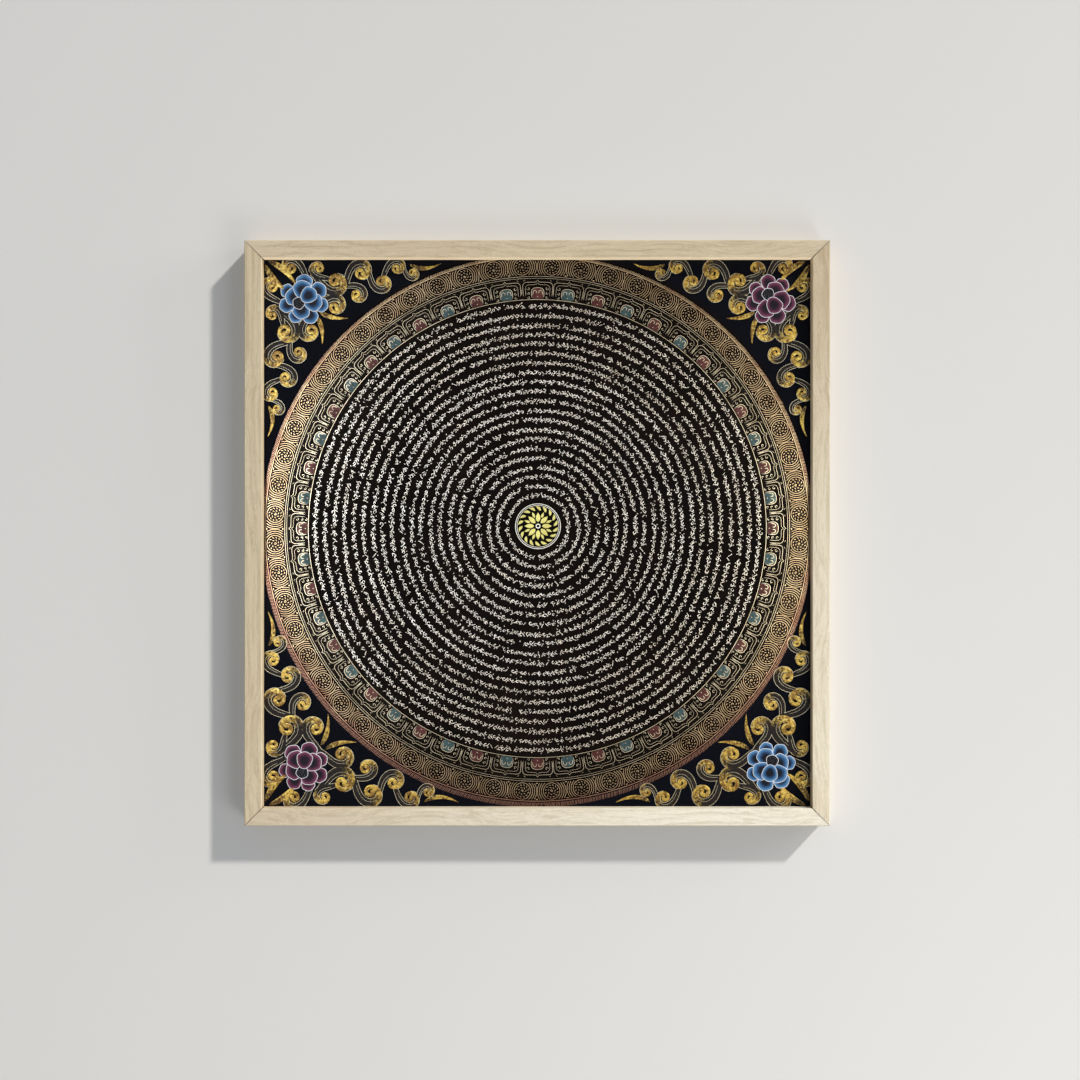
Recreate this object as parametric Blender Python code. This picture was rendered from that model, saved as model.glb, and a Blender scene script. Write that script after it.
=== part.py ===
"""A square thangka, painted on sized cotton, in a plain wood picture frame that hangs flat on a wall.

Frame of the part, in metres: +X to the right as seen from the front, +Z up, +Y back towards the wall.
The origin is the middle of the top rail's back face, where the frame touches the wall.
"""

import math

import bmesh
import bpy

MM = 0.001

# Driving sizes of the frame
SIDE = 600 * MM  # outside, both ways
FACE = 18 * MM  # width of a rail as seen from the front
DEPTH = 30 * MM  # wall to the front face
LIP = 12 * MM  # thickness of the lip that stands in front of the cloth
REBATE = 7 * MM  # how far the lip reaches over the cloth's seat
ARRIS = 0.8 * MM  # radius of the softened long edges
ARRIS_STEPS = 3  # flats in each softened edge

# Driving sizes of the painted cloth
CLOTH_THICK = 1.5 * MM  # cotton, ground and paint
CLOTH_SLACK = 1.0 * MM  # room between the cloth's edge and the rebate's wall
SEAT_GAP = 0.3 * MM  # between pieces that touch

LEG = FACE - REBATE  # width of a rail at the wall
MITRE_SHIFT = SEAT_GAP / math.sqrt(2)  # each rail's end stops this short of the mitre
CLOTH_SIDE = SIDE - 2 * LEG - 2 * CLOTH_SLACK
FRAME_CENTRE_Z = LEG / 2 - SIDE / 2  # the origin lies at mid height of the top leg

# The rails: name, and the quarter turns that take the top rail's place to its own, seen from the front
RAILS = [
    ("rail_top", 0),
    ("rail_right", 1),
    ("rail_bottom", 2),
    ("rail_left", 3),
]

ASH_PALE = (0.60, 0.48, 0.33)
PAINT_BLACK = (0.020, 0.018, 0.024)


def clear_scene():
    for thing in list(bpy.data.objects):
        bpy.data.objects.remove(thing)


def finish(name, colour, roughness, metallic=0.0):
    """A Principled material of one colour."""
    material = bpy.data.materials.new(name)
    material.use_nodes = True
    shader = material.node_tree.nodes["Principled BSDF"]
    shader.inputs["Base Color"].default_value = (*colour, 1.0)
    shader.inputs["Roughness"].default_value = roughness
    shader.inputs["Metallic"].default_value = metallic
    return material


def softened_corner(across, back, start_degrees):
    """The quarter circle that rounds a convex corner, about its own centre, anticlockwise from start_degrees."""
    points = []
    for step in range(ARRIS_STEPS + 1):
        turn = math.radians(start_degrees + 90 * step / ARRIS_STEPS)
        points.append((across + ARRIS * math.cos(turn), back + ARRIS * math.sin(turn)))
    return points


def rail_profile():
    """A rail's section, anticlockwise, as (distance in from the outside, distance out from the wall)."""
    return [
        *softened_corner(ARRIS, ARRIS, 180),
        *softened_corner(LEG - ARRIS, ARRIS, 270),
        (LEG, DEPTH - LIP),
        (FACE, DEPTH - LIP),
        *softened_corner(FACE - ARRIS, DEPTH - ARRIS, 0),
        *softened_corner(ARRIS, DEPTH - ARRIS, 90),
    ]


def rail(name, quarter_turns):
    """One mitred rail. It is drawn as the top rail about the frame's middle, then turned to its own side."""
    mesh = bmesh.new()
    profile = rail_profile()
    ends = []
    for hand in (-1, 1):
        ends.append(
            [
                mesh.verts.new((hand * (SIDE / 2 - across - MITRE_SHIFT), -out, SIDE / 2 - across))
                for across, out in profile
            ]
        )
    left, right = ends
    mesh.faces.new(left)
    mesh.faces.new(list(reversed(right)))
    for here in range(len(profile)):
        after = (here + 1) % len(profile)
        mesh.faces.new((left[after], left[here], right[here], right[after]))
    bmesh.ops.recalc_face_normals(mesh, faces=mesh.faces[:])
    data = bpy.data.meshes.new(name)
    mesh.to_mesh(data)
    mesh.free()
    piece = bpy.data.objects.new(name, data)
    piece.location = (0, 0, FRAME_CENTRE_Z)
    piece.rotation_euler = (0, math.radians(90 * quarter_turns), 0)
    bpy.context.collection.objects.link(piece)
    return piece


def painted_cloth():
    """The painted cotton: one flat sheet that lies in the rebate, against the back of the lip."""
    bpy.ops.mesh.primitive_cube_add(size=1)
    sheet = bpy.context.object
    sheet.name = "painted_cloth"
    sheet.scale = (CLOTH_SIDE, CLOTH_THICK, CLOTH_SIDE)
    bpy.ops.object.transform_apply(location=False, rotation=False, scale=True)
    front = -(DEPTH - LIP) + SEAT_GAP
    sheet.location = (0, front + CLOTH_THICK / 2, FRAME_CENTRE_Z)
    return sheet


def main():
    clear_scene()
    wood = finish("ash_rail", ASH_PALE, roughness=0.55)
    for name, quarter_turns in RAILS:
        piece = rail(name, quarter_turns)
        piece.data.materials.append(wood)
    cloth = painted_cloth()
    cloth.data.materials.append(finish("painted_cotton", PAINT_BLACK, roughness=0.6))


main()
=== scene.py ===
"""Looks of a square mandala thangka in a pale ash frame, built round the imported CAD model.

The frame's four rails stay the CAD's own and get a wood finish. The painted cotton is a thin sheet with a
raw cotton back, and its brushwork is laid on it as low raised paint: rings of vine, a ring of lotus petals,
a ring of rosettes, a copper fringe, a lotus medallion, and a flower in scrollwork at each corner.
Painted shapes are drawn about the mandala's centre, x to the right and z up, in metres.
"""

import math

import bpy
import numpy as np
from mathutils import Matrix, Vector


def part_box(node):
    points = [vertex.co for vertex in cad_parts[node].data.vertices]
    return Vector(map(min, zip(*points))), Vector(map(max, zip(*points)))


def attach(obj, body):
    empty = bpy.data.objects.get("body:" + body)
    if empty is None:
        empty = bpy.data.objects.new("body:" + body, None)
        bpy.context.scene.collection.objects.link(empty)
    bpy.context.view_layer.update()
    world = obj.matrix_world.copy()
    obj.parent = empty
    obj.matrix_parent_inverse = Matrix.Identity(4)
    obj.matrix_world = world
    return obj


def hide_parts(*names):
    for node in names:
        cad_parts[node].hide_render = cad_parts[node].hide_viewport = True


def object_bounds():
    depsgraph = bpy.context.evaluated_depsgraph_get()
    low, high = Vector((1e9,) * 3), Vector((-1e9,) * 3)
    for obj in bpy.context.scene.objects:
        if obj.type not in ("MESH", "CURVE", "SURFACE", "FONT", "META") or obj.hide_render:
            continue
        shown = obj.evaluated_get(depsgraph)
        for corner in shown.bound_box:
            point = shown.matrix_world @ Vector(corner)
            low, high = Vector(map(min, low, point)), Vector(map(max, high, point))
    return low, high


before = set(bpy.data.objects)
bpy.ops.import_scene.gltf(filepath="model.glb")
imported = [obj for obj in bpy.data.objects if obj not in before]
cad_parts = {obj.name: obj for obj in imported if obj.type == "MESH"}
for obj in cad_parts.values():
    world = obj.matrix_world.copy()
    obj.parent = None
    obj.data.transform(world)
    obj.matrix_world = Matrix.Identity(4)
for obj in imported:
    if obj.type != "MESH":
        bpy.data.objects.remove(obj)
cad_low, cad_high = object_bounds()

MM = 0.001
FULL_TURN = 2 * math.pi
RAILS = ("rail_top", "rail_right", "rail_bottom", "rail_left")

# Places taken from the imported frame
CLOTH_LOW, CLOTH_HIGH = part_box("painted_cloth")
CLOTH_FRONT = CLOTH_LOW.y
CLOTH_BACK = CLOTH_HIGH.y
CLOTH_SIDE = CLOTH_HIGH.x - CLOTH_LOW.x
CENTRE_Z = (cad_low.z + cad_high.z) / 2
SIGHT_HALF = -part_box("rail_left")[1].x  # half of the opening in front of the cloth
FRONT = cad_low.y
WALL = cad_high.y

# The mandala on the cloth
MANDALA_SHIFT = 0.9 * MM  # its centre, to the right of the frame's
MANDALA_RISE = 7.3 * MM  # and above it
RING_DRIFT = np.array((-0.0033, -0.0110))  # how far a ring's centre drifts, for each metre of its radius
HIDDEN_REACH = 2.6 * MM  # how far the paint runs on behind the frame's lip

# Cloth and raised paint
COCKLE = 0.12 * MM  # how far the stretched cloth strays from flat
SINK = 0.02 * MM  # how deep a stroke's foot lies in the cloth
STROKE_RISE = 0.035  # a stroke's height for its width
STROKE_TOP = 0.18 * MM  # and the most that it may be

# Rings of running vine
VINE_RINGS = 21
VINE_FIRST = 31.8 * MM  # radius of the smallest
VINE_LAST = 229.4 * MM
VINE_SPLITS = (9, 14, 18)  # how many rings lie inside each split between two pieces
VINE_PERIOD = 9.4 * MM
VINE_SWING = 2.1 * MM  # the stem's reach to each side
VINE_WANDER = 0.35 * MM  # how far a hand-drawn ring strays from its circle
VINE_STEM = 0.6 * MM  # width

# Ring of lotus petals
PETALS = 48
PETAL_FOOT = 236.4 * MM
PETAL_BROW = 255.0 * MM
PETAL_TIP = 257.8 * MM

# Ring of rosettes, and the copper fringe outside it
ROSETTES = 56
ROSETTE_FOOT = 261.2 * MM
ROSETTE_TOP = 280.6 * MM
FRINGE_TOP = 288.7 * MM
FRINGE_FLAMES = 1120

# Corners
FLOWER_PLACE = 41 * MM  # of a flower's middle, in from both edges of the opening
LONG_ARMS = 1.1  # the lower corners' scrolls, for the upper ones'


# ---- shader writing


class Signal:
    """A shader socket. Arithmetic on it adds the Math nodes that work the answer out."""

    def __init__(self, finish, socket):
        self.finish = finish
        self.socket = socket

    def worked(self, operation, *terms):
        return self.finish.node("ShaderNodeMath", {"operation": operation}, dict(enumerate(terms)))

    def __add__(self, other):
        return self.worked("ADD", self, other)

    __radd__ = __add__

    def __sub__(self, other):
        return self.worked("SUBTRACT", self, other)

    def __rsub__(self, other):
        return self.worked("SUBTRACT", other, self)

    def __mul__(self, other):
        return self.worked("MULTIPLY", self, other)

    __rmul__ = __mul__

    def __abs__(self):
        return self.worked("ABSOLUTE", self)

    def sine(self):
        return self.worked("SINE", self)

    def step_up(self, low, high):
        """0 below low and 1 above high, smooth between them."""
        limits = {"Value": self, "From Min": low, "From Max": high}
        return self.finish.node("ShaderNodeMapRange", {"interpolation_type": "SMOOTHSTEP"}, limits)


class Finish:
    """One material, with a Principled shader and the nodes that feed it."""

    def __init__(self, name, **constants):
        self.material = bpy.data.materials.new(name)
        self.material.use_nodes = True
        self.tree = self.material.node_tree
        self.shader = self.tree.nodes["Principled BSDF"]
        self.wear(**constants)

    def feed(self, socket, value):
        if isinstance(value, Signal):
            self.tree.links.new(value.socket, socket)
        elif isinstance(value, tuple) and socket.type == "RGBA":
            socket.default_value = (*value, 1.0)
        else:
            socket.default_value = value

    def wear(self, **channels):
        """Feeds the shader's sockets, named with _ for each space."""
        for socket, value in channels.items():
            self.feed(self.shader.inputs[socket.replace("_", " ")], value)

    def node(self, kind, settings=None, inputs=None, out=0):
        """Adds a node, with its settings made first, and gives one of its outputs."""
        made = self.tree.nodes.new(kind)
        for setting, value in (settings or {}).items():
            if setting == "stops":
                self.set_stops(made.color_ramp, value)
            else:
                setattr(made, setting, value)
        for socket, value in (inputs or {}).items():
            self.feed(made.inputs[socket], value)
        return Signal(self, made.outputs[out])

    @staticmethod
    def set_stops(ramp, stops):
        while len(ramp.elements) < len(stops):
            ramp.elements.new(1.0)
        for element, (place, colour) in zip(ramp.elements, stops):
            element.position = place
            element.color = (*colour, 1.0)

    def place(self):
        return self.node("ShaderNodeTexCoord", out="Object")

    def vector_math(self, operation, *terms, out=0):
        return self.node("ShaderNodeVectorMath", {"operation": operation}, dict(enumerate(terms)), out)

    def scaled(self, vector, factors):
        return self.vector_math("MULTIPLY", vector, factors)

    def part(self, vector, axis):
        return self.node("ShaderNodeSeparateXYZ", None, {0: vector}, out=axis)

    def noise(self, vector, scale, detail=2.0, roughness=0.5):
        inputs = {"Vector": vector, "Scale": scale, "Detail": detail, "Roughness": roughness}
        return self.node("ShaderNodeTexNoise", None, inputs)

    def mix(self, first, second, share):
        """A colour that is first where share is 0 and second where it is 1."""
        inputs = {"Factor": share, 6: first, 7: second}
        return self.node("ShaderNodeMix", {"data_type": "RGBA"}, inputs, out=2)

    def attribute(self, name):
        return self.node("ShaderNodeAttribute", {"attribute_name": name}, out="Fac")

    def finished(self, colour, roughness, height, distance, strength):
        """The material, with its colour, its roughness and a bump of some height fed to the shader."""
        inputs = {"Height": height, "Distance": distance, "Strength": strength}
        bump = self.node("ShaderNodeBump", None, inputs)
        self.wear(Base_Color=colour, Roughness=roughness, Normal=bump)
        return self.material


# ---- finishes

ASH_WOOD = (0.690, 0.575, 0.405)
ASH_BAND = (0.450, 0.345, 0.205)
ASH_FIBRE = (0.780, 0.680, 0.520)
ASH_CLOUD = (0.600, 0.430, 0.290)
ASH_PORE = (0.300, 0.210, 0.115)
# painted shade: the dark of the narrow gaps at the mitres, laid into the wood's colour
MITRE_SHADE = (0.135, 0.085, 0.045)
MITRE_HALF = (0.35 * MM, 0.95 * MM)  # off a mitre's middle, where its line of painted shade starts to fade and ends
CORNER_FROM = (540 * MM, 560 * MM)  # and where the mitres start, as x and z off the middle, added

# The ground's colours, each as what it clouds between, and where brown turns to blue
GROUND_BROWN = ((0.0038, 0.0021, 0.0012), (0.0080, 0.0047, 0.0031))
GROUND_BLUE = ((0.0034, 0.0038, 0.0068), (0.0050, 0.0056, 0.0094))
GROUND_GRIME = (0.0240, 0.0165, 0.0120)
BLUE_FROM = (280 * MM, 288 * MM)
GROUND_WEAVE = 0.52 * MM  # pitch of the weave that shows through

COTTON = ((0.600, 0.535, 0.415), (0.520, 0.450, 0.335))
COTTON_HOLLOW = (0.300, 0.245, 0.170)
COTTON_SLUB = (0.660, 0.610, 0.500)
COTTON_WEAVE = 0.9 * MM

# Brushed paints: colour where thick and where thin, metallic, and roughness
BRUSHED_PAINTS = {
    "line_gold": ((0.97, 0.91, 0.78), (0.86, 0.76, 0.56), 0.25, 0.36),
    "inner_gold": ((0.97, 0.87, 0.75), (0.88, 0.74, 0.55), 0.30, 0.36),
    "outer_gold": ((0.76, 0.65, 0.52), (0.64, 0.50, 0.345), 0.60, 0.34),
    "petal_gold": ((0.73, 0.57, 0.36), (0.38, 0.27, 0.148), 0.97, 0.29),
    "ring_gold": ((0.70, 0.480, 0.258), (0.42, 0.245, 0.104), 0.97, 0.29),
    "medallion_gold": ((0.74, 0.65, 0.17), (0.54, 0.43, 0.09), 0.30, 0.38),
    "thin_gold": ((0.92, 0.80, 0.52), (0.66, 0.50, 0.25), 0.30, 0.36),
    "rim_white": ((0.94, 0.93, 0.94), (0.74, 0.74, 0.78), 0.0, 0.5),
}
COPPER = (0.42, 0.19, 0.11)
COPPER_FROM = (277 * MM, 286 * MM)  # where the ring's gold turns to copper
COPPER_RAGGED = 14 * MM  # and how far in and out that edge strays

SCROLL_THICK = (0.560, 0.350, 0.060)
SCROLL_THIN = (0.230, 0.115, 0.020)
SCROLL_SPECK = (0.800, 0.610, 0.180)
SCROLL_GAP = (0.110, 0.055, 0.013)
SCROLL_TAIL = (0.017, 0.011, 0.007)

# Mineral paints, each as the two colours that it is streaked with
MINERAL_PAINTS = {
    "jewels_red": ((0.102, 0.022, 0.016), (0.058, 0.012, 0.009)),
    "jewels_teal": ((0.046, 0.088, 0.092), (0.024, 0.053, 0.056)),
    "seed_black": ((0.009, 0.008, 0.011), (0.005, 0.004, 0.006)),
}

# A corner flower's washes: a petal's heart, middle and rim
PETAL_WASHES = {
    "blue": ((0.004, 0.005, 0.011), (0.022, 0.074, 0.190), (0.105, 0.290, 0.560)),
    "plum": ((0.008, 0.003, 0.007), (0.056, 0.009, 0.030), (0.205, 0.049, 0.104)),
}


def mitre_shade_line(finish, place):
    """1 on the joints between the rails, where the shade in their gaps is painted, and 0 elsewhere."""
    across = abs(finish.part(place, "X"))
    upright = abs(finish.part(place, "Z") - CENTRE_Z)
    off_mitre = abs(across - upright)
    in_corner = (across + upright).step_up(*CORNER_FROM)
    return (1 - off_mitre.step_up(*MITRE_HALF)) * in_corner


def pale_ash(name, along, seed, painted_light_tint):
    """One board of quiet-grained ash, clear and matt. along is its grain's axis, 0 for x and 2 for z."""
    finish = Finish(name, Metallic=0.0, Specular_IOR_Level=0.2)
    place = finish.place()
    sway = finish.noise(place, 7, 1) * 0.035
    board = finish.vector_math("ADD", place, (seed, seed * 0.7, seed * 1.3))
    board = finish.vector_math("ADD", board, sway)

    def drawn_out(share):
        """The board, with what is drawn on it longer along the grain."""
        factors = [1.0, 1.0, 1.0]
        factors[along] = share
        return finish.scaled(board, tuple(factors))

    bands = finish.noise(drawn_out(0.022), 300, 2.5, 0.6)
    fibres = finish.noise(drawn_out(0.05), 1500, 3, 0.65)
    pores = finish.noise(drawn_out(0.05), 2600, 1).step_up(0.60, 0.72)
    cloud = finish.noise(board, 9, 2)
    base = finish.mix(ASH_WOOD, ASH_BAND, bands.step_up(0.36, 0.74) * 0.62)
    base = finish.mix(base, ASH_FIBRE, fibres.step_up(0.45, 0.72) * 0.45)
    base = finish.mix(base, ASH_CLOUD, cloud.step_up(0.45, 0.8) * 0.25)
    base = finish.mix(base, ASH_PORE, pores * 0.4)
    # painted shade along the mitre joints between rails
    base = finish.mix(base, MITRE_SHADE, mitre_shade_line(finish, place) * 0.85)
    # painted light and shade: each board's tint lightens the bottom rail most and darkens and yellows the
    # right one
    base = finish.scaled(base, painted_light_tint)
    return finish.finished(base, 0.46 + 0.14 * fibres, fibres * 0.5 - pores, 0.09 * MM, 0.6)


def weave(finish, place, pitch):
    """The height of a plain weave's threads."""
    turn = FULL_TURN / pitch
    warp = (finish.part(place, "X") * turn).sine()
    weft = (finish.part(place, "Z") * turn).sine()
    return warp * weft


def from_mandala(finish, place):
    """How far a point of the painting is from the mandala's centre."""
    middle = (MANDALA_SHIFT, CLOTH_FRONT, CENTRE_Z + MANDALA_RISE)
    centred = finish.vector_math("SUBTRACT", place, middle)
    return finish.vector_math("LENGTH", centred, out="Value")


def painted_ground():
    """The near-black ground: brown inside the mandala and blue at the corners, over a fine cotton weave."""
    finish = Finish("painted_ground", Metallic=0.0, Specular_IOR_Level=0.02)
    place = finish.place()
    clouds = finish.noise(place, 17, 4, 0.6)
    grime = finish.noise(place, 420, 3, 0.6)
    inside = finish.mix(*GROUND_BROWN, clouds.step_up(0.3, 0.75))
    corners = finish.mix(*GROUND_BLUE, clouds.step_up(0.3, 0.75))
    ground = finish.mix(inside, corners, from_mandala(finish, place).step_up(*BLUE_FROM))
    ground = finish.mix(ground, GROUND_GRIME, grime.step_up(0.58, 0.8) * 0.35)
    threads = weave(finish, place, GROUND_WEAVE)
    return finish.finished(ground, 0.50 + 0.25 * clouds, threads * 0.5 + grime, 0.05 * MM, 0.7)


def raw_cotton():
    """The unpainted back and edges of the cotton, slightly stained."""
    finish = Finish("raw_cotton", Metallic=0.0)
    place = finish.place()
    threads = weave(finish, place, COTTON_WEAVE)
    stain = finish.noise(place, 12, 4, 0.6)
    slubs = finish.noise(finish.scaled(place, (1, 1, 0.08)), 700, 2)
    base = finish.mix(*COTTON, stain.step_up(0.35, 0.75))
    base = finish.mix(base, COTTON_HOLLOW, (threads * 0.5 + 0.5) * 0.35)
    base = finish.mix(base, COTTON_SLUB, slubs.step_up(0.6, 0.75) * 0.4)
    return finish.finished(base, 0.82 + 0.1 * stain, threads + slubs, 0.12 * MM, 0.8)


def brushed_paint(name, edge=None):
    """Paint laid with a fine brush, pale where thick. edge is its colour at the mandala's rim."""
    pale, deep, metallic, roughness = BRUSHED_PAINTS[name]
    finish = Finish(name, Metallic=metallic)
    place = finish.place()
    load = finish.noise(place, 55, 3, 0.6)
    flecks = finish.noise(place, 900, 2, 0.6)
    base = finish.mix(pale, deep, load.step_up(0.35, 0.70) * 0.7 + flecks.step_up(0.5, 0.8) * 0.3)
    if edge:
        ragged = from_mandala(finish, place) + (load - 0.5) * COPPER_RAGGED
        base = finish.mix(base, edge, ragged.step_up(*COPPER_FROM))
    return finish.finished(base, roughness + 0.15 * flecks, flecks, 0.03 * MM, 0.5)


def scroll_gold():
    """Stippled gold that fades into the dark ground along a scroll's tail."""
    finish = Finish("scroll_gold", Specular_IOR_Level=0.12)
    place = finish.place()
    stipple = finish.noise(place, 470, 2, 0.7)
    patches = finish.noise(place, 130, 3, 0.6)
    gold = finish.mix(SCROLL_THICK, SCROLL_THIN, patches.step_up(0.40, 0.62))
    gold = finish.mix(gold, SCROLL_SPECK, stipple.step_up(0.55, 0.67) * 0.65)
    gold = finish.mix(gold, SCROLL_GAP, (1 - stipple.step_up(0.36, 0.48)) * 0.85)
    laid = (finish.attribute("fade") + (stipple - 0.5) * 0.9).step_up(0.2, 0.8)
    base = finish.mix(SCROLL_TAIL, gold, laid)
    finish.wear(Metallic=laid * 0.35)
    return finish.finished(base, 0.60 - 0.20 * laid, stipple, 0.06 * MM, 0.6)


def mineral_paint(name):
    """Flat mineral colour, a little streaked by the brush."""
    finish = Finish(name, Metallic=0.0, Specular_IOR_Level=0.12)
    streaks = finish.noise(finish.scaled(finish.place(), (1, 1, 0.35)), 420, 3, 0.6)
    base = finish.mix(*MINERAL_PAINTS[name], streaks.step_up(0.3, 0.7))
    return finish.finished(base, 0.48 + 0.2 * streaks, streaks, 0.04 * MM, 0.5)


def petal_paint(name, heart, middle, rim):
    """A petal shaded in washes, from its dark heart to its bright rim."""
    finish = Finish(name, Metallic=0.0, Specular_IOR_Level=0.12)
    strokes = finish.noise(finish.place(), 380, 3, 0.6)
    wash = finish.attribute("rim") + (strokes - 0.5) * 0.22
    stops = [(0.0, heart), (0.40, heart), (0.64, middle), (0.90, rim)]
    base = finish.node("ShaderNodeValToRGB", {"stops": stops}, {0: wash})
    return finish.finished(base, 0.44 + 0.2 * strokes, strokes, 0.04 * MM, 0.5)


def plain_paint(name, colour):
    """The stage's matt paint. It can't be seen from behind, so it never hides the object."""
    finish = Finish(name, Base_Color=colour, Roughness=0.9, Metallic=0.0)
    behind = finish.node("ShaderNodeNewGeometry", out="Backfacing")
    clear = finish.node("ShaderNodeBsdfTransparent")
    shown = Signal(finish, finish.shader.outputs[0])
    surface = finish.node("ShaderNodeMixShader", None, {0: behind, 1: shown, 2: clear})
    finish.feed(finish.tree.nodes["Material Output"].inputs["Surface"], surface)
    return finish.material


# ---- meshes


def flat(line):
    """Complex numbers as (x, z) pairs."""
    return np.stack([np.real(line), np.imag(line)], axis=-1)


def polar(reach, bearing):
    """(x, z) pairs at a reach and a bearing from a motif's middle."""
    return np.stack([reach * np.cos(bearing), reach * np.sin(bearing)], axis=-1)


def cloth_face(x, z):
    """How far forward the stretched cloth lies at points of the painting, as y in the row frame."""
    left = np.clip(1 - np.abs(x + MANDALA_SHIFT) / SIGHT_HALF, 0, 1)
    down = np.clip(1 - np.abs(z + MANDALA_RISE) / SIGHT_HALF, 0, 1)
    held = np.clip(6 * left, 0, 1) * np.clip(6 * down, 0, 1)
    waves = np.sin(23 * x + 9 * z) + np.sin(31 * z - 12 * x + 1.0) * 0.7
    return CLOTH_FRONT - COCKLE * held * (0.5 + 0.3 * waves)


def on_cloth(plan, height):
    """Painted points, (..., 2), as points of the row frame that stand height in front of the cloth."""
    x, z = plan[..., 0], plan[..., 1]
    y = cloth_face(x, z) - height
    return np.stack([x + MANDALA_SHIFT, y, z + CENTRE_Z + MANDALA_RISE], axis=-1)


def mesh_piece(name, points, face_groups, materials, smooth=False, shares=None, planar=False):
    """A mesh object. face_groups are (faces, corners) arrays, and shares are named values of the points."""
    mesh = bpy.data.meshes.new(name)
    corners = np.concatenate([faces.ravel() for faces in face_groups])
    sizes = np.concatenate([np.full(len(faces), faces.shape[1]) for faces in face_groups])
    mesh.vertices.add(len(points))
    mesh.vertices.foreach_set("co", points.astype(np.float32).ravel())
    mesh.loops.add(len(corners))
    mesh.loops.foreach_set("vertex_index", corners.astype(np.int32))
    mesh.polygons.add(len(sizes))
    mesh.polygons.foreach_set("loop_start", (np.cumsum(sizes) - sizes).astype(np.int32))
    mesh.polygons.foreach_set("use_smooth", np.full(len(sizes), smooth))
    mesh.update(calc_edges=True)
    for share, values in (shares or {}).items():
        mesh.attributes.new(share, "FLOAT", "POINT").data.foreach_set("value", values.astype(np.float32))
    if planar:  # unwrapped as seen from the front
        low, high = points.min(0), points.max(0)
        plan = (points[:, (0, 2)] - low[[0, 2]]) / (high - low)[[0, 2]].max()
        mesh.uv_layers.new(name="OFBake").data.foreach_set("uv", plan[corners].astype(np.float32).ravel())
    mesh.validate()
    for material in materials:
        mesh.materials.append(material)
    piece = bpy.data.objects.new(name, mesh)
    bpy.context.scene.collection.objects.link(piece)
    return piece


# Sections of a fine stroke, of one on other paint and of a broad one, as (share across, share up)
STROKE = np.array([(-1, 0), (-0.8, 1), (0.8, 1), (1, 0)])
BEVEL = np.array([(-1, 0), (-0.9, 0.4), (0, 1), (0.9, 0.4), (1, 0)])
CUSHION = np.array([(-1, 0), (-0.86, 0.62), (-0.45, 0.94), (0.45, 0.94), (0.86, 0.62), (1, 0)])


def stroke_points(lines, widths, crest, closed, lift, section):
    """The sections along some strokes, as points of the row frame, (copies, steps, corners, 3)."""
    across, up = section.T
    if closed:
        ahead = np.roll(lines, -1, axis=1) - np.roll(lines, 1, axis=1)
    else:
        ahead = np.gradient(lines, axis=1)
    ahead /= np.maximum(np.linalg.norm(ahead, axis=2, keepdims=True), 1e-9)
    side = np.stack([ahead[..., 1], -ahead[..., 0]], axis=-1)
    plan = lines[:, :, None] + side[:, :, None] * (widths[..., None] / 2 * across)[..., None]
    return on_cloth(plan, crest[..., None] * up + np.where(up > 0, lift, -SINK))


def stroke_faces(rows, closed):
    """The triangles and the quads over some strokes, whose points are numbered (copies, steps, corners)."""
    before = rows if closed else rows[:, :-1]
    after = np.roll(rows, -1, axis=1) if closed else rows[:, 1:]
    triangles, quads = [], []
    for here in range(rows.shape[2]):
        there = (here + 1) % rows.shape[2]
        ring = [before[..., here], before[..., there], after[..., there], after[..., here]]
        if not closed:  # all the corners at each end are one point
            triangles.append(np.stack([rows[:, 0, 0], rows[:, 1, there], rows[:, 1, here]], -1))
            triangles.append(np.stack([rows[:, -1, 0], rows[:, -2, here], rows[:, -2, there]], -1))
            ring = [edge[:, 1:-1] for edge in ring]
        quads.append(np.stack(ring, -1).reshape(-1, 4))
    return triangles, quads


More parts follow.
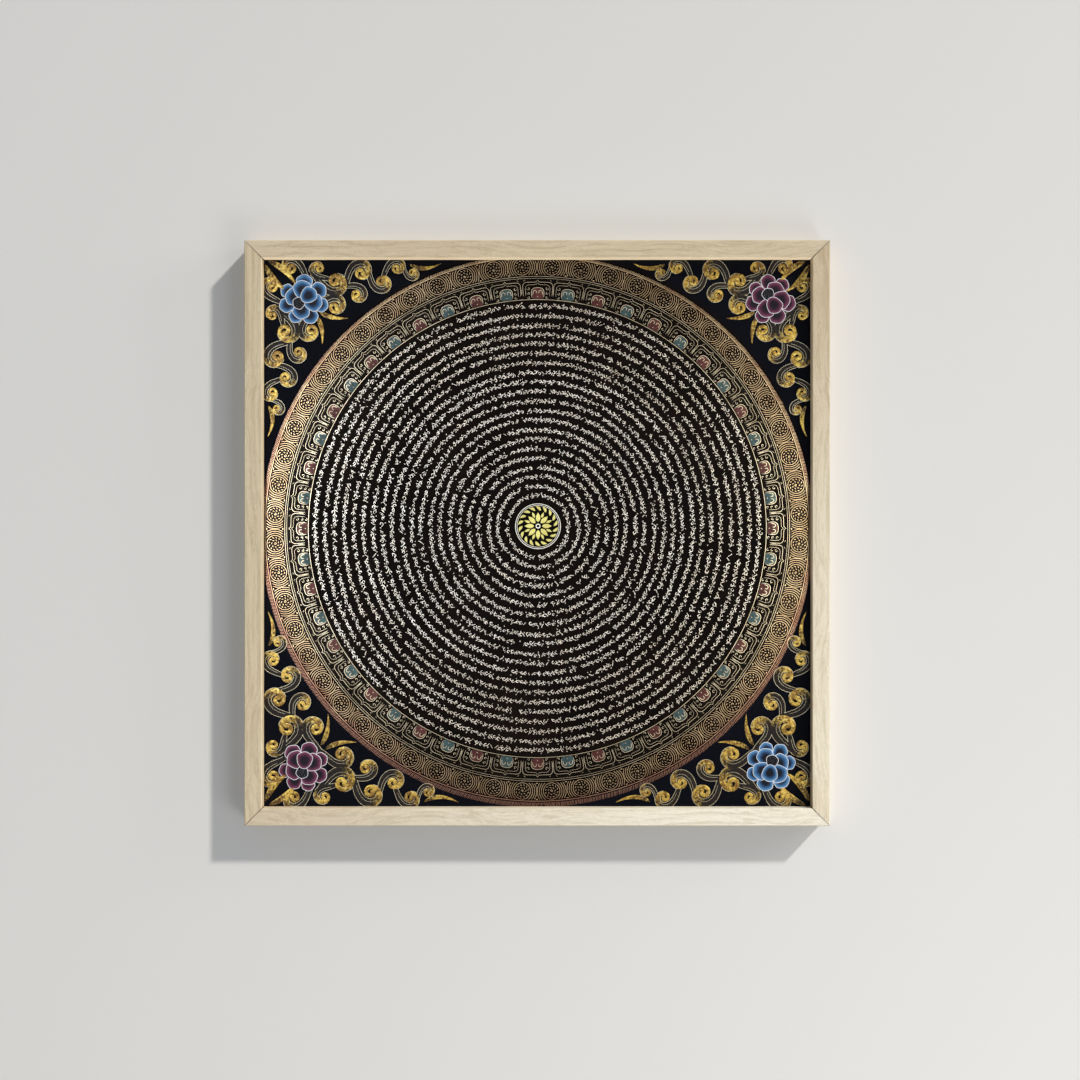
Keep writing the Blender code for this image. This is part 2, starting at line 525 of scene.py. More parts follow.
class Brush:
    """Painted lines, gathered to be raised as one piece."""

    def __init__(self):
        self.batches = []

    def paint(self, lines, widths, fades=1.0, closed=False, lift=0.0):
        """Copies of a line, (copies, points, 2), lift above the cloth. widths and fades fit its points."""
        lines = np.asarray(lines, float)
        if lines.ndim == 2:
            lines = lines[None]
        widths = np.broadcast_to(widths, lines.shape[:2])
        fades = np.broadcast_to(fades, lines.shape[:2])
        limit = SIGHT_HALF + HIDDEN_REACH
        seen = (np.abs(lines + (MANDALA_SHIFT, MANDALA_RISE)) < limit).all(axis=2)
        whole = seen.all(axis=1)
        if whole.any():
            self.batches.append((lines[whole], widths[whole], fades[whole], closed, lift))
        for line, width, fade, shown in zip(*(part[~whole] for part in (lines, widths, fades, seen))):
            if closed:  # start a cut ring where it is hidden
                turned = np.roll(np.arange(len(line)), -int(np.argmin(shown)))
                line, width, fade, shown = line[turned], width[turned], fade[turned], shown[turned]
            ends = np.flatnonzero(np.diff(np.concatenate([[0], shown, [0]])))
            for first, after in zip(ends[::2], ends[1::2]):
                if after - first > 2:
                    run = slice(first, after)
                    self.batches.append((line[None, run], width[None, run], fade[None, run], False, lift))

    def raised(self, name, material, section, smooth=False, planar=True, top=STROKE_TOP, edge_shade=0.0):
        """One mesh of the lines, which rise by top at most. edge_shade adds to the fade at their edges."""
        points, fades, triangles, quads, count = [], [], [], [], 0
        for lines, widths, shade, closed, lift in self.batches:
            if not closed:  # each end is drawn to a point
                widths = widths * (np.abs(np.linspace(-1, 1, lines.shape[1])) < 0.9999)
            crest = np.minimum(widths * STROKE_RISE, top) * (0.35 + 0.65 * shade)
            solid = stroke_points(lines, widths, crest, closed, lift, section)
            rows = count + np.arange(solid[..., 0].size).reshape(solid.shape[:3])
            more_triangles, more_quads = stroke_faces(rows, closed)
            triangles += more_triangles
            quads += more_quads
            points.append(solid.reshape(-1, 3))
            fades.append((shade[..., None] + edge_shade * np.abs(section[:, 0]) ** 4).ravel())
            count += rows.size
        faces = [np.concatenate(group) for group in (triangles, quads) if group]
        used = np.unique(np.concatenate([group.ravel() for group in faces]))
        faces = [np.searchsorted(used, group) for group in faces]
        shares = {"fade": np.concatenate(fades)[used]}
        return mesh_piece(name, np.concatenate(points)[used], faces, [material], smooth, shares, planar)


def raised_plates(name, plates, rings, material, planar=False):
    """Filled shapes in one mesh. plates are (outline, heart, lift), and rings are (share out, rise)."""
    outlines = np.array([outline for outline, _, _ in plates])
    backward = np.imag(np.conj(outlines) * np.roll(outlines, -1, axis=1)).sum(1) > 0
    outlines[backward] = outlines[backward, ::-1]
    hearts = np.array([heart for _, heart, _ in plates])[:, None]
    lifts = np.array([lift for _, _, lift in plates])[:, None]
    copies, steps = outlines.shape
    spread = [1.0, *(share for share, _ in rings)]
    heights = [np.full_like(lifts, -SINK), *(lifts + rise for _, rise in rings)]
    plans = [flat(hearts + (outlines - hearts) * share) for share in spread]
    solid = np.stack([on_cloth(plan, height) for plan, height in zip(plans, heights)], axis=1)
    middle = on_cloth(flat(hearts), heights[-1])
    foot = on_cloth(flat(hearts), heights[0])
    points = np.concatenate([solid.reshape(copies, -1, 3), middle, foot], axis=1).reshape(-1, 3)
    each = len(spread) * steps + 2
    start = each * np.arange(copies)[:, None, None]
    rows = start + np.arange(len(spread) * steps).reshape(1, len(spread), steps)
    after = np.roll(rows, -1, axis=2)
    quads = np.stack([rows[:, :-1], rows[:, 1:], after[:, 1:], after[:, :-1]], -1).reshape(-1, 4)
    top = np.broadcast_to(start[:, 0] + each - 2, (copies, steps))
    base = np.broadcast_to(start[:, 0] + each - 1, (copies, steps))
    caps = np.stack([rows[:, -1], top, after[:, -1]], -1).reshape(-1, 3)
    feet = np.stack([rows[:, 0], after[:, 0], base], -1).reshape(-1, 3)
    shares = {"rim": np.tile([*np.repeat(spread, steps), 0.0, 0.0], copies)}
    return mesh_piece(name, points, [quads, np.concatenate([caps, feet])], [material], True, shares, planar)


# ---- ring ornament


def on_ring(radius, turn, out=0.0):
    """Points at a clockwise angle from the top, some way out from a ring."""
    return polar(radius + out, turn)[..., ::-1] + RING_DRIFT * radius


def round_ring(motif, radius, turns):
    """Copies of a line drawn on a straight strip, (along, out), bent round a ring at the given angles."""
    motif = np.asarray(motif, float)
    return on_ring(radius, turns[:, None] + motif[..., 0] / radius, motif[..., 1])


def even_turns(count, phase=0.0):
    return (np.arange(count) + phase) * FULL_TURN / count


def ring_line(brush, radius, width, steps=360):
    brush.paint(on_ring(radius, even_turns(steps)), width, closed=True)


def spiral(start, finish, turns, first_angle, steps):
    """A curl that opens from the start radius to the finish radius about a motif's middle."""
    share = np.linspace(0, 1, steps)
    return polar(start + (finish - start) * share, first_angle + turns * FULL_TURN * share)


# Leaves of the vine at an outward crest: start, middle and end as (share of the period, mm out), mm wide
VINE_LEAVES = [
    ((0.02, 1.7), (0.08, 2.7), (0.21, 3.6), 0.95),
    ((-0.20, 0.9), (-0.30, 1.9), (-0.26, 3.2), 0.9),
]


def vine_ring(brush, radius, dice):
    """One ring of vine: a broken, waving stem, with a tendril in each hollow and leaves at each crest."""
    waves = round(FULL_TURN * radius / VINE_PERIOD)
    period = FULL_TURN * radius / waves
    drift = dice.uniform(0, FULL_TURN, 2)

    def wander(at):
        return VINE_WANDER * (np.sin(2 * at + drift[0]) + np.sin(5 * at + drift[1]))

    def strew(motif, crest, width, share):
        """Paints uneven copies of a motif at a share of the crests."""
        motif = motif * dice.uniform(0.6, 1.15, (waves, 1, 2)) + dice.normal(0, 0.45 * MM, (waves, 1, 2))
        motif[..., 1] += wander(crest)[:, None]
        bold = dice.uniform(0.65, 1.1, (waves, 1)) * width
        kept = dice.random(waves) < share
        brush.paint(round_ring(motif, radius, crest)[kept], bold[kept])

    share = np.linspace(0.04, 0.46, 5)
    stem = np.stack([share * period, VINE_SWING * np.cos(FULL_TURN * share)], axis=-1)
    for side in (1, -1):
        crest = (np.arange(waves) + 0.5 - 0.25 * side) * FULL_TURN / waves
        curl = spiral(2.3 * MM, 0.7 * MM, -1.0, 1.1 * math.pi, 9) * (1, side) - (0, side * 1.0 * MM)
        strew(curl, crest, np.linspace(0.4, 0.95, 9) * MM, 0.88)
        strew(stem * (1, side), crest, VINE_STEM * np.array((0.7, 1, 1, 1, 0.7)), 0.8)
        for *line, width in VINE_LEAVES:
            strew(np.array(line) * (period, MM * side), crest, np.array((0, width, 0)) * MM, 0.62)


def shouldered(half, top, soft, foot_share, peak):
    """A round-shouldered outline, from its right foot over its peak to its left foot."""
    shoulder = np.linspace(0, math.pi / 2, 6)
    right = [(half * foot_share, 0.0), (half, top * 0.35)]
    right += [(half - soft * (1 - np.cos(a)), top - soft * (1 - np.sin(a))) for a in shoulder]
    right += peak
    return np.array(right + [(-x, z) for x, z in reversed(right[:-1])])


# A lotus petal: its outlines as mm in and mm wide, the rib beside it and its fork as (mm along, mm out), and
# its side curls as mm out and their size
PETAL_OUTLINES = ((2.0, 0.34), (4.6, 0.24))
PETAL_RIB = ((0, 0), (0, 8), (0, 16.5))
PETAL_FORK = ((1.4, 17.2), (3.0, 19.8), (6.0, 20.9))
PETAL_CURLS = ((2.4, 0.85), (6.8, 0.85), (11.6, 1.0))
RIB_WIDTH = 0.28 * MM

# Plain rings at the petals' feet and beyond their tips: radius and mm wide
PETAL_RINGS = ((PETAL_FOOT, 0.42), (258.6 * MM, 0.24), (260.6 * MM, 0.30))


def petal_ring(brush, turns):
    """The lotus petals' double outlines, the small curls in them and the ribs between them."""
    between = turns + math.pi / PETALS
    half = math.pi * PETAL_BROW / PETALS
    for inset, width in PETAL_OUTLINES:
        brow = PETAL_BROW - PETAL_FOOT + (1.4 - inset) * MM
        tip = PETAL_TIP - PETAL_BROW
        peak = [(3.0 * MM, brow), (1.5 * MM, brow + 0.1 * tip), (0.0, brow + 0.8 * tip)]
        outline = shouldered(half - inset * MM, brow, 4 * MM, 0.95, peak)
        brush.paint(round_ring(outline, PETAL_FOOT, turns), width * MM)
    brush.paint(round_ring(np.array(PETAL_RIB) * MM, PETAL_FOOT, between), RIB_WIDTH)
    for side in (-1, 1):
        brush.paint(round_ring(np.array(PETAL_FORK) * (side * MM, MM), PETAL_FOOT, between), RIB_WIDTH)
    for side in (1, -1):
        for out, size in PETAL_CURLS:
            curl = spiral(0.5 * MM, 1.8 * MM * size, 0.9, 1.0, 9) * (side, 1) + (side * 9.2 * MM, out * MM)
            brush.paint(round_ring(curl, PETAL_FOOT, turns), np.linspace(0.50, 0.25, 9) * MM)
    for radius, width in PETAL_RINGS:
        ring_line(brush, radius, width * MM)


# A jewel, in mm: half width, height and shoulder's radius, at its rim and its face, then an arch and vein
JEWEL_RIM = (6.3, 11.4, 4.5)
JEWEL_FACE = (5.9, 11.0, 4.2)
JEWEL_ARCH = ((4.6, 1.4), (4.9, 6.2), (4.3, 8.9), (2.7, 9.6), (1.2, 8.6), (1.2, 6.7), (2.3, 6.8))
JEWEL_VEIN = ((0, 1.2), (0, 3.0), (0, 5.4))
JEWEL_OUT = 0.8 * MM  # from the petals' foot ring


def jewel_outline(half, top, soft):
    peak = [(0.0, (top + 0.2) * MM)]
    return shouldered(half * MM, top * MM, soft * MM, 0.9, peak) + (0.0, JEWEL_OUT)


def jewel_lines(brush, turns):
    """Each jewel's rim, and the pair of arches and the vein drawn on it."""
    brush.paint(round_ring(jewel_outline(*JEWEL_RIM), PETAL_FOOT, turns), 0.42 * MM, lift=0.05 * MM)
    for side in (1, -1):
        arch = np.array(JEWEL_ARCH) * (side * MM, MM)
        brush.paint(round_ring(arch, PETAL_FOOT, turns), 0.5 * MM, lift=0.13 * MM)
    vein = np.array(JEWEL_VEIN) * MM
    brush.paint(round_ring(vein, PETAL_FOOT, turns), np.array((0, 0.9, 0)) * MM, lift=0.13 * MM)


# Leaves of a rosette, by ring: how many, mm from the middle, mm long, lean in radians, mm wide
ROSETTE_LEAVES = [
    (7, 2.3, 2.6, 0.95, 0.54),
    (12, 5.1, 2.3, 0.55, 0.58),
]
ROSETTE_CIRCLE = 8.5 * MM  # radius of the line round a rosette
ROSETTE_ARCS = (10.7, 12.8, 14.9)  # mm, radii of the arcs beyond it
BAR_OUT = 8.3 * MM  # of the small bars between rosettes, in and out from the ring's middle


def rosette_ring(brush, turns):
    """Whorled rosettes, with nested arcs and small bars in the spaces between them."""
    middle = (ROSETTE_FOOT + ROSETTE_TOP) / 2
    half = (ROSETTE_TOP - ROSETTE_FOOT) / 2
    pitch = FULL_TURN * middle / ROSETTES

    def repeat(motif, width, closed=False):
        brush.paint(round_ring(motif, middle, turns), width, closed=closed)

    repeat(spiral(0.4 * MM, 1.5 * MM, 1.1, 0, 8), 0.45 * MM)
    for leaves, start, long, lean, width in ROSETTE_LEAVES:
        out = np.array((start, start + long / 2, start + long)) * MM
        for bearing in even_turns(leaves):
            repeat(polar(out, bearing + lean * np.array((0, 0.5, 1))), np.array((0, width, 0)) * MM)
    repeat(polar(ROSETTE_CIRCLE, even_turns(28)), 0.37 * MM, closed=True)
    for out in (-BAR_OUT, BAR_OUT):
        bar = [(pitch / 2 + step * MM, out) for step in (-1.5, 0, 1.5)]
        repeat(bar, np.array((0, 1.0, 0)) * MM)
    for arc in ROSETTE_ARCS:
        high = math.asin((half - 0.1 * MM) / (arc * MM))
        for facing in (0, math.pi):
            repeat(polar(arc * MM, facing + np.linspace(-high, high, 9)), 0.36 * MM)


def copper_fringe(brush, dice):
    """Small slanting flames, side by side, on a copper line."""
    turns = even_turns(FRINGE_FLAMES) + dice.normal(0, 0.0004, FRINGE_FLAMES)
    high = FRINGE_TOP - ROSETTE_TOP
    flame = [(0, 0.3 * MM), (2.0 * MM, 0.35 * high), (2.6 * MM, 0.65 * high), (4.6 * MM, high)]
    flames = np.array(flame) * dice.uniform(0.93, 1.02, (FRINGE_FLAMES, 1, 1))
    flames[..., 1] *= (0.74 - 0.30 * np.cos(turns))[:, None]  # shortest at the top
    brush.paint(round_ring(flames, ROSETTE_TOP, turns), np.array((0, 0.42, 0.36, 0)) * MM)
    ring_line(brush, ROSETTE_TOP + 0.3 * MM, 0.5 * MM, 480)


# ---- medallion

# The medallion's wreath and two rows of petals: leaves, phase, foot and tip in mm out, swing in radians,
# mm wide, and bow as a share of the length
MEDALLION_ROWS = [
    (18, 0.0, 16.0, 20.6, 0.3, 2.9, -0.12),
    (8, 0.5, 9.0, 15.4, 0.0, 2.7, 0.0),
    (8, 0.0, 3.9, 14.2, 0.0, 4.9, 0.0),
]
MEDALLION_RINGS = ((23.2, 0.7), (21.6, 0.5), (2.0, 1.0))  # radius and width, in mm


def pointed_leaf(start, end, width, bow, steps=8):
    """A leaf's outline from start to end, bowed to one side."""
    share = np.linspace(0, 1, steps)
    spine = start + (end - start) * share + 1j * (end - start) * bow * np.sin(math.pi * share)
    ahead = (end - start) / abs(end - start) * 1j
    half = width / 2 * np.sin(math.pi * share**0.8)
    return np.concatenate([spine + ahead * half, (spine - ahead * half)[-2:0:-1]])


def medallion_plates():
    """A lotus of two rows of petals in a wreath of leaves."""
    plates = []
    for leaves, phase, foot, tip, swing, width, bow in MEDALLION_ROWS:
        for bearing in even_turns(leaves, phase):
            start = foot * MM * np.exp(1j * bearing)
            end = tip * MM * np.exp(1j * (bearing + swing))
            heart = (start + end) / 2 + 1j * (end - start) * bow
            plates.append((pointed_leaf(start, end, width * MM, bow), heart, 0.0))
    return plates


# ---- corners

# Scroll leaves of one arm of a corner, in mm along the edge and in from it: eye, curl's radius, root, hand
SCROLLS = [
    ((77, 22), 7.6, (46, 12), 1),
    ((76, 49), 6.6, (48, 54), -1),
    ((96, 38), 5.4, (74, 26), -1),
    ((103, 13), 6.8, (80, 34), -1),
    ((124, 22), 5.8, (104, 3), 1),
    ((139, 9), 5.2, (119, 23), -1),
    ((155, 13), 3.8, (141, 1), 1),
    ((55, 7), 5.4, (70, 22), -1),
    ((25, 8), 6.0, (48, 22), 1),
]

# Pointed leaves of one arm: start, bend and tip in mm along the edge and in from it, and mm wide
SCROLL_FLAMES = [
    ((150, 4), (164, 14), (184, 3), 4.6),
    ((57, 53), (68, 62), (88, 60), 5.0),
    ((4, 1), (24, 8), (34, 28), 6.4),
]

CURL_LONG = 5.5  # length of a scroll's curl, in curl radii
CURL_TIGHT = 3.3  # how hard it bends at its eye, as a share of the bend of its outer turn
CURL_WIDE = 0.51  # its width, in curl radii
TAILS = np.linspace(0.6, 6, 28)  # lengths to choose a scroll's tail from, in curl radii


def scroll_line(tail, hand, steps=48):
    """A complex line that unwinds from its eye into a tail, in curl radii, about the curl's middle."""
    along = np.linspace(0, CURL_LONG + tail, steps)
    in_curl = np.clip(along / CURL_LONG, 0, 1)
    in_tail = np.clip((along - CURL_LONG) / tail, 0, 1)
    bend = CURL_TIGHT + (1 - CURL_TIGHT) * np.minimum(1, in_curl * 1.6)
    heading = np.cumsum(bend * (1 - in_tail * (1 + 2.4 / tail))) * along[1] * hand
    line = np.cumsum(np.exp(1j * heading)) * along[1]
    return line - line[(in_curl > 0.3) & (in_curl < 1)].mean(), in_curl, in_tail


def scroll_leaf(fill, outline, eye, size, root, hand, turned):
    """One scroll leaf: a gold curl on a dark tail that reaches its root, with fine lines along it."""
    far = abs(root - eye) / (1.12 * size)
    reach = np.array([abs(scroll_line(tail, hand)[0][-1]) for tail in TAILS])
    unit, in_curl, in_tail = scroll_line(TAILS[np.argmin(abs(reach - far))], hand)
    spine = eye + (root - eye) * unit / unit[-1]
    size = abs(root - eye) / abs(unit[-1])
    bulb = np.sqrt(np.clip(in_curl / 0.05, 0, 1)) * (1 + 0.35 * np.exp(-((in_curl / 0.14) ** 2)))
    widths = size * bulb * (CURL_WIDE + 0.5 * np.clip(2 * in_curl - 1, 0, 1)) * (1 - 0.6 * in_tail**2)
    fill.paint(turned(spine), widths, np.clip(1.9 - 1.6 * in_curl - 1.5 * in_tail, 0, 1))
    normal = 1j * np.gradient(spine) / abs(np.gradient(spine))
    for side, start in ((hand, 0.7), (-hand, 0.5)):
        rim = spine + side * normal * (widths / 2 + 0.2 * MM)
        outline.paint(turned(rim)[(in_curl > start) & (in_tail < 0.93)], 0.3 * MM)
    vein = spine + hand * normal * widths * 0.14
    outline.paint(turned(vein)[(in_curl > 0.85) & (in_tail < 0.7)], 0.2 * MM, lift=0.1 * MM)


def flame_leaf(fill, start, bend, tip, width, turned):
    """A pointed leaf on a bowed line, brightest at its tip."""
    share = np.linspace(0, 1, 14)
    spine = (1 - share) ** 2 * start + 2 * share * (1 - share) * bend + share**2 * tip
    fill.paint(turned(spine), width * np.sin(math.pi * share**0.7), 0.3 + 0.7 * share)


def corner_scrolls(fill, outline, corner, stretch):
    """The two arms of scrollwork that run from a corner of the opening, one the other's mirror image."""
    inward = -np.sign(corner)

    def at(pair):
        return complex(*pair) * MM * stretch

    for order in (slice(None), slice(None, None, -1)):  # the arm along x, and the arm along z

        def turned(line):
            return corner + inward * flat(line)[:, order]

        for eye, size, root, hand in SCROLLS:
            scroll_leaf(fill, outline, at(eye), size * MM * stretch, at(root), hand, turned)
        for start, bend, tip, width in SCROLL_FLAMES:
            flame_leaf(fill, at(start), at(bend), at(tip), width * MM, turned)


# Petals of a corner flower, lowest first: mm to the middle, bearing in degrees, mm along and across
FLOWER_PETALS = [
    (17.5, 12, 8.2, 7.2),
    (17.0, 58, 8.8, 7.6),
    (17.5, 104, 8.0, 7.0),
    (17.0, 152, 8.8, 8.0),
    (17.5, 203, 8.2, 7.4),
    (16.5, 252, 9.2, 8.6),
    (16.5, 308, 9.2, 8.6),
    (9.5, 24, 9.4, 9.2),
    (10.5, 118, 9.4, 9.0),
    (9.5, 205, 9.6, 9.4),
    (10.0, 318, 9.6, 9.4),
]
SEED_HEAD = (5.6, 76, 6.4, 6.4)  # in the same form, and next
LAST_PETAL = (6.6, 262, 8.6, 8.4)  # in front of the seed head
PETAL_LAYER = 0.05 * MM  # how far each petal lies over the one below
SEED_RINGS = ((0.0, 1), (2.1, 5), (4.3, 10))  # rings of dots on the seed head: mm out, and how many


def petal_outline(reach, across, steps=32):
    """A petal about its middle, its tip along the real axis, broad and a little lobed at the rim."""
    angle = even_turns(steps)
    wave = 1 + 0.04 * np.cos(5 * angle) * np.clip(np.cos(angle) + 0.5, 0, 1)
    tip = np.sign(np.cos(angle)) * abs(np.cos(angle)) ** 0.85
    return reach * wave * tip + 1j * across * wave * np.sin(angle) * (0.92 + 0.2 * np.cos(angle))


def seed_dots(seeds, head, lift):
    for ring, dots in SEED_RINGS:
        for bearing in even_turns(dots, 0.3 * ring):
            dot = head + (ring + 0.7 * np.array((-1, 0, 1))) * MM * np.exp(1j * bearing)
            seeds.paint(flat(dot), 1.3 * MM, lift=lift + 0.03 * MM)


def flower(plates, heads, rims, seeds, middle, turn):
    """A corner flower: petals with a white line round each, and a dark seed head with white dots."""
    lift = 0.0
    for form in (*FLOWER_PETALS, SEED_HEAD, LAST_PETAL):
        lift += PETAL_LAYER
        distance, bearing, reach, across = form
        aim = np.exp(1j * math.radians(bearing + turn))
        heart = middle + distance * MM * aim
        outline = heart + petal_outline(reach * MM, across * MM) * aim
        rims.paint(flat(outline), 0.65 * MM, closed=True, lift=lift)
        if form is SEED_HEAD:
            heads.append((outline, heart, lift))
            seed_dots(seeds, heart, lift)
        else:
            plates.append((outline, heart - 0.1 * reach * MM * aim, lift))


# ---- pieces

# How filled shapes rise from rim to middle: share of the way out, and how high
JEWEL_RISE = ((0.97, 0.07 * MM), (0.80, 0.12 * MM), (0.4, 0.13 * MM))
LOTUS_RISE = ((0.95, 0.08 * MM), (0.72, 0.16 * MM), (0.3, 0.18 * MM))
PETAL_RISE = ((1.0, 0.005 * MM), (0.93, 0.02 * MM), (0.78, 0.035 * MM), (0.55, 0.04 * MM), (0.28, 0.04 * MM))

# The corners: right or left, up or down, the flower's colour, and the degrees that it is turned
CORNERS = [
    (-1, -1, "plum", 180),
    (-1, 1, "blue", 140),
    (1, -1, "blue", 0),
    (1, 1, "plum", 40),
]

# The rails' boards: rail, the axis of its grain, seed of its figure, and a tint of painted light and shade
BOARDS = [
    ("rail_top", 0, 1.7, (1.06, 1.07, 1.05)),
    ("rail_right", 2, 4.0, (0.97, 0.945, 0.885)),
    ("rail_bottom", 0, 6.3, (1.10, 1.11, 1.11)),
    ("rail_left", 2, 8.6, (1.03, 1.03, 0.97)),
]


def dress_frame():
    """Gives each rail its own board of ash, tinted with painted light and shade."""
    for rail, along, seed, painted_light_tint in BOARDS:
        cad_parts[rail].material_slots[0].material = pale_ash(f"ash_{rail}", along, seed, painted_light_tint)


def build_cloth():
    """The sheet itself: a painted front that is a little cockled, and a plain cotton back."""
    steps = 97
    line = np.linspace(-CLOTH_SIDE / 2, CLOTH_SIDE / 2, steps)
    x, z = np.meshgrid(line - MANDALA_SHIFT, line - MANDALA_RISE, indexing="ij")
    front = on_cloth(np.stack([x, z], axis=-1), 0.0).reshape(-1, 3)
    back = front.copy()
    back[:, 1] = CLOTH_BACK
    ids = np.arange(steps * steps).reshape(steps, steps)
    quads = np.stack([ids[:-1, :-1], ids[1:, :-1], ids[1:, 1:], ids[:-1, 1:]], -1).reshape(-1, 4)
    edge = np.concatenate([ids[0, :-1], ids[:-1, -1], ids[-1, :0:-1], ids[:0:-1, 0]])
    beside = np.roll(edge, -1)
    rim = np.stack([edge, beside, beside + len(front), edge + len(front)], -1)
    groups = [quads, quads[:, ::-1] + len(front), rim]
    materials = (painted_ground(), raw_cotton())
    cloth = mesh_piece("cotton_sheet", np.concatenate([front, back]), groups, materials)
    behind = np.concatenate([np.zeros(len(quads), int), np.ones(len(quads) + len(rim), int)])
    cloth.data.polygons.foreach_set("material_index", behind.astype(np.int32))
    return cloth


def vine_pieces(dice):
    """The rings of vine in four pieces, the outer two in deeper gold."""
    radii = np.linspace(VINE_FIRST, VINE_LAST, VINE_RINGS)
    inner_gold = brushed_paint("inner_gold")
    outer_gold = brushed_paint("outer_gold")
    pieces = []
    for number, rings in enumerate(np.split(radii, VINE_SPLITS), start=1):
        vines = Brush()
        for radius in rings:
            vine_ring(vines, radius, dice)
        gold = inner_gold if number <= 2 else outer_gold
        pieces.append(vines.raised(f"vine_rings_{number}", gold, STROKE))
    return pieces


def lotus_ring_pieces(dice):
    """The ring of lotus petals, with a red or a teal jewel in each."""
    turns = even_turns(PETALS) + dice.normal(0, 0.0012, PETALS)
    gold = brushed_paint("petal_gold")
    petals, jewels = Brush(), Brush()
    petal_ring(petals, turns)
    jewel_lines(jewels, turns)
    pieces = [
        petals.raised("lotus_petal_lines", gold, STROKE),
        jewels.raised("jewel_lines", gold, BEVEL, top=0.12 * MM),
    ]
    for first, name in enumerate(("jewels_red", "jewels_teal")):
        outlines = round_ring(jewel_outline(*JEWEL_FACE), PETAL_FOOT, turns[first::2])
        plates = [(line[:, 0] + 1j * line[:, 1], complex(*line.mean(0)), 0.0) for line in outlines]
        pieces.append(raised_plates(name, plates, JEWEL_RISE, mineral_paint(name), planar=True))
    return pieces


def rosette_pieces(dice):
    """The ring of rosettes and the fringe outside it, in gold that turns to copper."""
    gold = brushed_paint("ring_gold", COPPER)
    rosettes, fringe = Brush(), Brush()
    rosette_ring(rosettes, even_turns(ROSETTES, 0.5) + dice.normal(0, 0.001, ROSETTES))
    copper_fringe(fringe, dice)
    return [rosettes.raised("rosette_ring", gold, STROKE), fringe.raised("copper_fringe", gold, STROKE)]


def medallion_pieces():
    """The lotus in the middle and the lines round it."""
    lines = Brush()
    for radius, width in MEDALLION_RINGS:
        ring_line(lines, radius * MM, width * MM, 96)
    return [
        lines.raised("medallion_lines", brushed_paint("line_gold"), STROKE),
        raised_plates("medallion_lotus", medallion_plates(), LOTUS_RISE, brushed_paint("medallion_gold")),
    ]


def corner_pieces():
    """The scrollwork and the flower of each corner."""
    fill, outline, seeds, heads = Brush(), Brush(), Brush(), []
    flowers = {colour: ([], Brush()) for colour in PETAL_WASHES}
    for right, up, colour, turn in CORNERS:
        outward = np.array((right, up))
        corner = outward * SIGHT_HALF - (MANDALA_SHIFT, MANDALA_RISE)
        corner_scrolls(fill, outline, corner, 1.0 if up > 0 else LONG_ARMS)
        plates, rims = flowers[colour]
        flower(plates, heads, rims, seeds, complex(*(corner - outward * FLOWER_PLACE)), turn)
    white = brushed_paint("rim_white")
    pieces = [
        fill.raised("corner_scrolls", scroll_gold(), CUSHION, smooth=True, planar=False, edge_shade=0.35),
        outline.raised("scroll_outlines", brushed_paint("thin_gold"), STROKE),
        seeds.raised("flower_seeds", white, BEVEL, top=0.08 * MM),
        raised_plates("seed_heads", heads, PETAL_RISE, mineral_paint("seed_black")),
    ]
    for colour, (plates, rims) in flowers.items():
        wash = petal_paint(f"petal_{colour}", *PETAL_WASHES[colour])
        pieces.append(raised_plates(f"flower_petals_{colour}", plates, PETAL_RISE, wash))
        pieces.append(rims.raised(f"flower_rims_{colour}", white, BEVEL, top=0.05 * MM))
    return pieces


def build_paint():
    dice = np.random.default_rng(11)
    rings = vine_pieces(dice) + lotus_ring_pieces(dice) + rosette_pieces(dice)
    return rings + medallion_pieces() + corner_pieces()


# ---- stage, light and camera

WALL_PAINT = (0.83, 0.825, 0.805)
FLOOR_PAINT = (0.72, 0.71, 0.69)
FLOOR_Z = -1.35

SUNLIGHT = (1.0, 0.965, 0.92)
WARM_LIGHT = (1.0, 0.97, 0.93)
WINDOW_LIGHT = (0.80, 0.92, 1.0)
SKY_LIGHT = (0.90, 0.93, 0.98)

# Windows that only gloss shows: name, metres right and up of the middle, wide and tall, watts, light
WINDOWS = [
    ("window", 0.0, 0.0, 1.30, 0.30, 1.0, WINDOW_LIGHT),
    ("left_window", -0.66, 0.09, 0.16, 0.55, 24.0, (0.66, 0.80, 1.0)),
    ("right_window", 0.68, 0.0, 0.16, 0.45, 12.0, WINDOW_LIGHT),
]
WINDOW_Y = -1.62

LENS = 50.0  # mm, on a 36 mm sensor
CAMERA_DISTANCE = 1.536  # from the frame's front
CAMERA_RIGHT = 2.9 * MM  # of the frame's middle
CAMERA_DOWN = 7.1 * MM


def stage_plane(name, middle, size, turn, colour):
    """A plain surface that the camera sees, and that neither shades nor lights the frame."""
    bpy.ops.mesh.primitive_plane_add(size=size, location=middle, rotation=turn)
    plane = bpy.context.object
    plane.name = name
    plane.data.materials.append(plain_paint(name, colour))
    plane.visible_shadow = False
    plane.visible_diffuse = False
    plane.visible_glossy = False


def build_stage():
    """A pale wall just behind the frame, and a pale floor well below it."""
    stage_plane("wall", (0, WALL + 1.0 * MM, 0.2), 6.0, (math.pi / 2, 0, 0), WALL_PAINT)
    stage_plane("floor", (0, -1.0, FLOOR_Z), 8.0, (0, 0, 0), FLOOR_PAINT)


def lamp(name, kind, place, target, energy, colour, **settings):
    """A lamp at a place, aimed at a target."""
    data = bpy.data.lights.new(name, kind)
    data.energy = energy
    data.color = colour
    for setting, value in settings.items():
        setattr(data, setting, value)
    made = bpy.data.objects.new(name, data)
    bpy.context.scene.collection.objects.link(made)
    made.location = place
    made.rotation_euler = (Vector(target) - Vector(place)).to_track_quat("-Z", "Y").to_euler()
    return made


def light_only(glow, rails):
    lit = bpy.data.collections.new(f"lit_by_{glow.name}")
    for rail in rails:
        lit.objects.link(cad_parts[rail])
    glow.light_linking.receiver_collection = lit


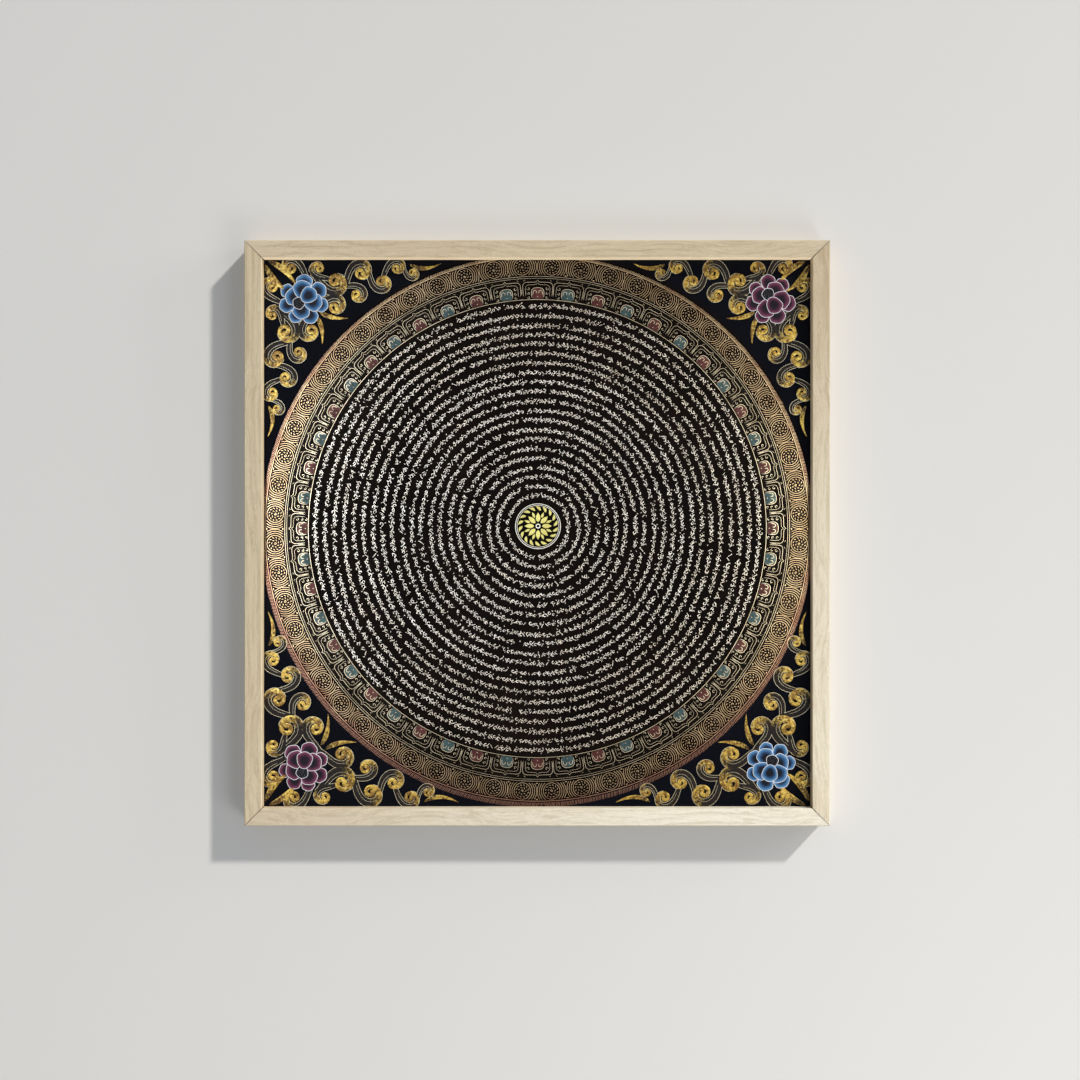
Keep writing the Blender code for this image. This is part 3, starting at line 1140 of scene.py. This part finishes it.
def build_light():
    """A soft high sun from the right and warm fills, a little light for the rails alone, windows and sky."""
    middle = (0, FRONT, CENTRE_Z)
    high_right = (1.34, FRONT - 1.0, CENTRE_Z + 1.43)
    lamp("key", "SUN", high_right, middle, 2.38, SUNLIGHT, angle=math.radians(3.5))
    wide = {"shape": "SQUARE", "size": 1.0}
    lamp("side_fill", "AREA", (2.6, -0.42, CENTRE_Z + 1.0), middle, 25, WARM_LIGHT, **wide)
    low_fill = lamp("low_fill", "AREA", (1.1, -1.4, CENTRE_Z - 1.3), middle, 11, WARM_LIGHT, **wide)
    low_fill.visible_glossy = False
    strip = {"shape": "RECTANGLE", "size": 0.5, "size_y": 0.06}
    lip_glow = lamp("lip_glow", "AREA", (0, -0.09, CENTRE_Z - 1.9), middle, 42, WARM_LIGHT, **strip)
    light_only(lip_glow, ("rail_top", "rail_right", "rail_left"))
    lamp("back_fill", "AREA", (-0.7, 2.2, CENTRE_Z + 0.9), (0, WALL, CENTRE_Z), 45, WARM_LIGHT, **wide)
    spot = {"spot_size": math.radians(22), "spot_blend": 1.0, "shadow_soft_size": 0.15}
    low_right = (0.33, FRONT, CENTRE_Z - 0.33)
    pool = lamp("pool", "SPOT", (1.65, -1.9, CENTRE_Z + 1.2), low_right, 300, (0.48, 0.68, 1.0), **spot)
    light_only(pool, RAILS)
    for name, across, rise, wide, tall, power, colour in WINDOWS:
        pane = {"shape": "RECTANGLE", "size": wide, "size_y": tall}
        place = (across, WINDOW_Y, CENTRE_Z + rise)
        window = lamp(name, "AREA", place, (across / 2, FRONT, CENTRE_Z), power, colour, **pane)
        window.visible_diffuse = False
    world = bpy.data.worlds.new("pale_sky")
    bpy.context.scene.world = world
    world.use_nodes = True
    background = world.node_tree.nodes["Background"]
    background.inputs["Color"].default_value = (*SKY_LIGHT, 1.0)
    background.inputs["Strength"].default_value = 0.33


def build_camera():
    data = bpy.data.cameras.new("camera")
    data.lens = LENS
    camera = bpy.data.objects.new("camera", data)
    bpy.context.scene.collection.objects.link(camera)
    camera.location = (CAMERA_RIGHT, FRONT - CAMERA_DISTANCE, CENTRE_Z - CAMERA_DOWN)
    camera.rotation_euler = (math.pi / 2, 0, 0)
    bpy.context.scene.camera = camera


# ---- the whole

build_camera()
dress_frame()
cloth = build_cloth()
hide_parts("painted_cloth")
paint = build_paint()
for piece in (cloth, *paint):
    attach(piece, "root")
build_stage()
build_light()
bpy.context.scene.view_settings.view_transform = "Standard"
